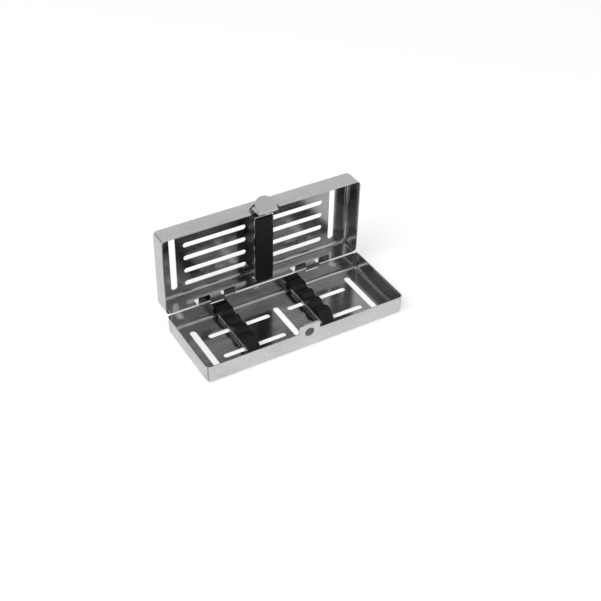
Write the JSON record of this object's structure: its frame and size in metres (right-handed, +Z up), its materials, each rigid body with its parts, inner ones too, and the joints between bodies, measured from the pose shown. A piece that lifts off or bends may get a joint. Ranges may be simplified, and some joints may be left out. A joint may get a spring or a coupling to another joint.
{
  "type": "perforated instrument tray",
  "caption": "Pressed sheet-steel instrument tray with slotted floor, hinged slotted lid, soft rests, a hold-down strap and a sprung thumb catch.",
  "frame": {"origin": "On the surface the tray stands on, under the middle of the footprint of the tray with its lid up.", "axes": "+X along the tray's length to the right as seen from the latch side, +Y towards the hinges and the raised lid, +Z up."},
  "size_m": [0.18, 0.0906, 0.0983],
  "materials": {
    "pan_steel": "satin outside, polished inside",
    "strip_steel": "polished spring strip",
    "pin_steel": "turned bright",
    "black_silicone": "moulded, matt"
  },
  "bodies": {
    "base": {"base_pan": "pan_steel", "rest_rail_left": "strip_steel", "rest_rail_right": "strip_steel", "rest_left": "black_silicone", "rest_right": "black_silicone", "hinge_pin_left": "pin_steel", "hinge_pin_right": "pin_steel"},
    "lid": {"lid_pan": "pan_steel", "hold_down_strap": "strip_steel", "strap_rivets": "pin_steel", "strap_pad": "black_silicone"},
    "catch": {"thumb_catch": "strip_steel", "catch_stud": "pin_steel"}
  },
  "joints": [
    {"name": "lid_hinge", "type": "hinge", "parent": "base", "child": "lid", "pos_m": [0, 0.0263, 0.017], "axis": [1, 0, 0], "range_deg": [0, 90]},
    {"name": "catch_release", "type": "hinge", "parent": "lid", "child": "catch", "pos_m": [0, 0.03344, 0.08915], "axis": [-1, 0, 0], "range_deg": [0, 16], "stiffness_Nm_per_rad": 0.3}
  ]
}
